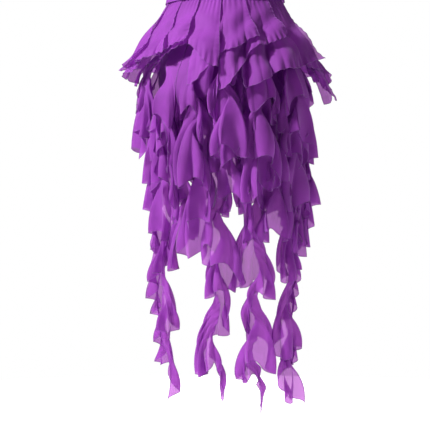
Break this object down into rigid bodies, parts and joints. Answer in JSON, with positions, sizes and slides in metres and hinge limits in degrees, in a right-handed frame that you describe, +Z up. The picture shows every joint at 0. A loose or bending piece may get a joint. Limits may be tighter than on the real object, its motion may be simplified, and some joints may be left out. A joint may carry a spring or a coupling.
{
  "type": "belly dance scarf",
  "caption": "Purple chiffon hip scarf worn round the hips: flounces under a tied waist band over layers of spiral-cut ruffles, short in front and trailing low at the back.",
  "frame": {"origin": "middle of the waist opening, level with the scarf's top edge, where the wearer holds it", "axes": "+Z up, the wearer's front towards -Y, the wearer's right towards -X"},
  "size_m": [0.5317, 0.4588, 1.0264],
  "materials": {
    "wrap_chiffon": "soft satin sheen, seen between the ruffles",
    "tie_chiffon": "soft satin sheen",
    "flounce_chiffon": "sheer, soft satin sheen",
    "outer_chiffon": "sheer, soft satin sheen",
    "inner_chiffon": "sheer, soft satin sheen"
  },
  "bodies": {
    "root": {"base_wrap": "wrap_chiffon", "waist_binding": "tie_chiffon", "tie_knot": "tie_chiffon", "tie_end_right": "tie_chiffon", "tie_end_left": "tie_chiffon", "flounce_01": "flounce_chiffon", "flounce_02": "flounce_chiffon", "flounce_03": "flounce_chiffon", "flounce_04": "flounce_chiffon", "flounce_05": "flounce_chiffon", "flounce_06": "flounce_chiffon", "flounce_07": "flounce_chiffon", "flounce_08": "flounce_chiffon", "flounce_09": "flounce_chiffon", "flounce_10": "flounce_chiffon", "flounce_11": "flounce_chiffon", "flounce_12": "flounce_chiffon", "upper_ruffle_01": "outer_chiffon", "upper_ruffle_02": "outer_chiffon", "upper_ruffle_03": "outer_chiffon", "upper_ruffle_04": "outer_chiffon", "upper_ruffle_05": "outer_chiffon", "outer_ruffle_01": "outer_chiffon", "outer_ruffle_02": "outer_chiffon", "outer_ruffle_03": "outer_chiffon", "outer_ruffle_04": "outer_chiffon", "outer_ruffle_05": "outer_chiffon", "outer_ruffle_06": "outer_chiffon", "outer_ruffle_07": "outer_chiffon", "outer_ruffle_08": "outer_chiffon", "outer_ruffle_09": "outer_chiffon", "outer_ruffle_10": "outer_chiffon", "outer_ruffle_11": "outer_chiffon", "outer_ruffle_12": "outer_chiffon", "outer_ruffle_13": "outer_chiffon", "inner_ruffle_01": "inner_chiffon", "inner_ruffle_02": "inner_chiffon", "inner_ruffle_03": "inner_chiffon", "inner_ruffle_04": "inner_chiffon", "inner_ruffle_05": "inner_chiffon", "inner_ruffle_06": "inner_chiffon", "inner_ruffle_07": "inner_chiffon", "inner_ruffle_08": "inner_chiffon", "inner_ruffle_09": "inner_chiffon", "inner_ruffle_10": "inner_chiffon", "inner_ruffle_11": "inner_chiffon"}
  },
  "joints": []
}
